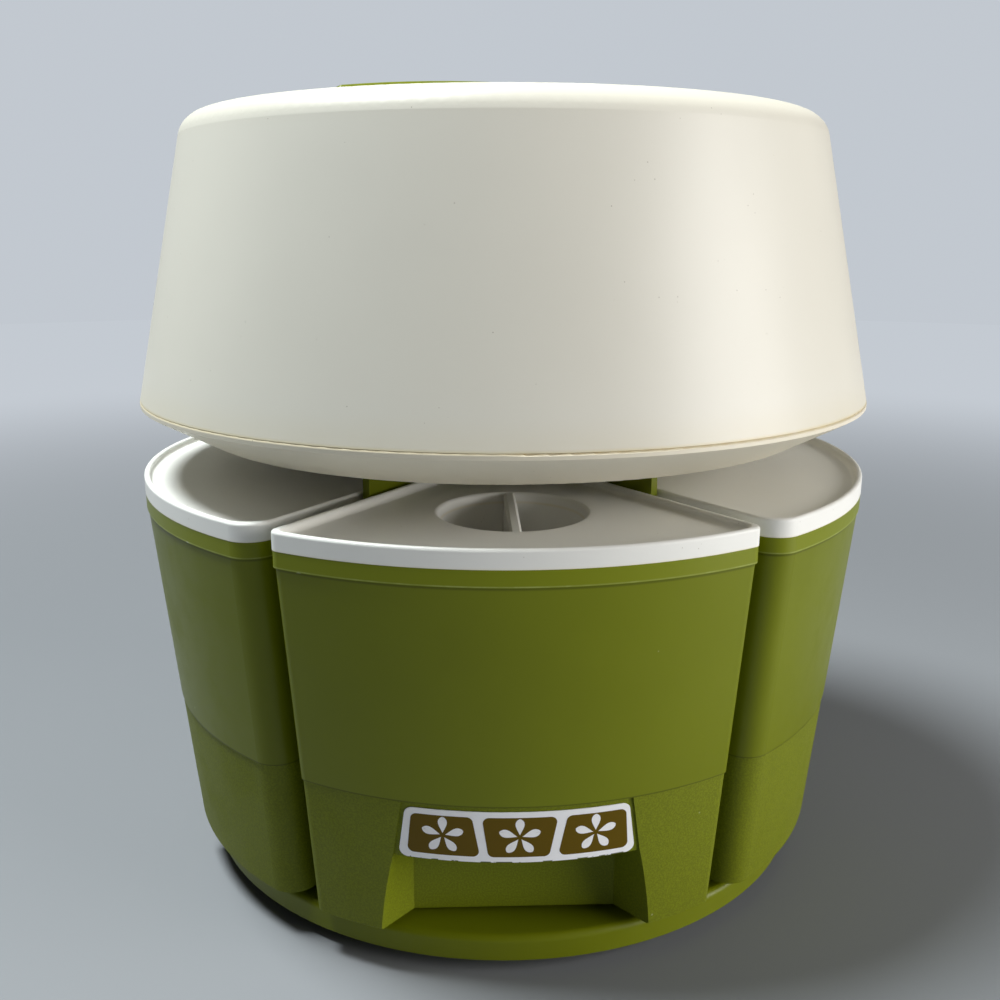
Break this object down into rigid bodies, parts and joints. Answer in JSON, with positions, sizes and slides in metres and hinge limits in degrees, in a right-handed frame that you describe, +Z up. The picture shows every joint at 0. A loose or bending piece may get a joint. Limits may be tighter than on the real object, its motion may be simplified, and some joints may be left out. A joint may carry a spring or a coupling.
{
  "type": "canister carousel",
  "caption": "Round canister carousel on a ball-bearing turntable: wedge-shaped lidded canisters round an upright divider, with a covered cake tray on top.",
  "frame": {"origin": "on the floor, on the turntable's axis", "axes": "+Z up along the turntable's axis, -Y towards the front canister, +X towards the right canister"},
  "size_m": [0.3042, 0.3042, 0.3187],
  "materials": {
    "olive": "satin",
    "cream": "satin",
    "label_print": "printed",
    "rubber": "matte",
    "race_steel": "brushed",
    "ball_steel": "polished",
    "zinc_steel": "zinc plated",
    "nylon": "natural"
  },
  "bodies": {
    "base": {"foot_base": "olive", "foot_pads": "rubber", "lower_race": "race_steel", "pivot_bolt": "zinc_steel", "pivot_washer": "zinc_steel", "pivot_nut": "zinc_steel"},
    "ball_ring": {"ball_cage": "nylon", "bearing_balls": "ball_steel"},
    "turntable_body": {"turntable": "olive", "upper_race": "race_steel", "divider": "olive", "divider_screws": "zinc_steel"},
    "canister_front_body": {"canister_front": "olive", "label_front": "label_print"},
    "lid_front_body": {"lid_front": "cream"},
    "canister_back_body": {"canister_back": "olive", "label_back": "label_print"},
    "lid_back_body": {"lid_back": "cream"},
    "canister_left_body": {"canister_left": "olive", "label_left": "label_print"},
    "lid_left_body": {"lid_left": "cream"},
    "canister_right_body": {"canister_right": "olive", "label_right": "label_print"},
    "lid_right_body": {"lid_right": "cream"},
    "tray_body": {"cake_tray": "cream", "tray_peg": "nylon"},
    "cover_body": {"cake_cover": "cream", "cover_handle": "olive", "handle_screws": "zinc_steel", "handle_washers": "zinc_steel"}
  },
  "joints": [
    {"name": "turntable_spin", "type": "hinge", "parent": "base", "child": "turntable_body", "pos_m": [0, 0, 0.0145], "axis": [0, 0, 1], "continuous": true},
    {"name": "ball_ring_spin", "type": "hinge", "parent": "base", "child": "ball_ring", "pos_m": [0, 0, 0.00875], "axis": [0, 0, 1], "continuous": true},
    {"name": "canister_front_pull", "type": "slide", "parent": "turntable_body", "child": "canister_front_body", "axis": [0, -1, 0], "range_m": [0, 0.11]},
    {"name": "lid_front_lift", "type": "slide", "parent": "canister_front_body", "child": "lid_front_body", "axis": [0, 0, 1], "range_m": [0, 0.014]},
    {"name": "canister_back_pull", "type": "slide", "parent": "turntable_body", "child": "canister_back_body", "axis": [0, 1, 0], "range_m": [0, 0.11]},
    {"name": "lid_back_lift", "type": "slide", "parent": "canister_back_body", "child": "lid_back_body", "axis": [0, 0, 1], "range_m": [0, 0.014]},
    {"name": "canister_left_pull", "type": "slide", "parent": "turntable_body", "child": "canister_left_body", "axis": [-1, 0, 0], "range_m": [0, 0.11]},
    {"name": "lid_left_lift", "type": "slide", "parent": "canister_left_body", "child": "lid_left_body", "axis": [0, 0, 1], "range_m": [0, 0.014]},
    {"name": "canister_right_pull", "type": "slide", "parent": "turntable_body", "child": "canister_right_body", "axis": [1, 0, 0], "range_m": [0, 0.11]},
    {"name": "lid_right_lift", "type": "slide", "parent": "canister_right_body", "child": "lid_right_body", "axis": [0, 0, 1], "range_m": [0, 0.014]},
    {"name": "tray_lift", "type": "slide", "parent": "turntable_body", "child": "tray_body", "axis": [0, 0, 1], "range_m": [0, 0.1]},
    {"name": "cover_lift", "type": "slide", "parent": "tray_body", "child": "cover_body", "axis": [0, 0, 1], "range_m": [0, 0.15]}
  ],
  "couplings": [
    {"joint": "ball_ring_spin", "follows": "turntable_spin", "ratio": 0.5}
  ]
}
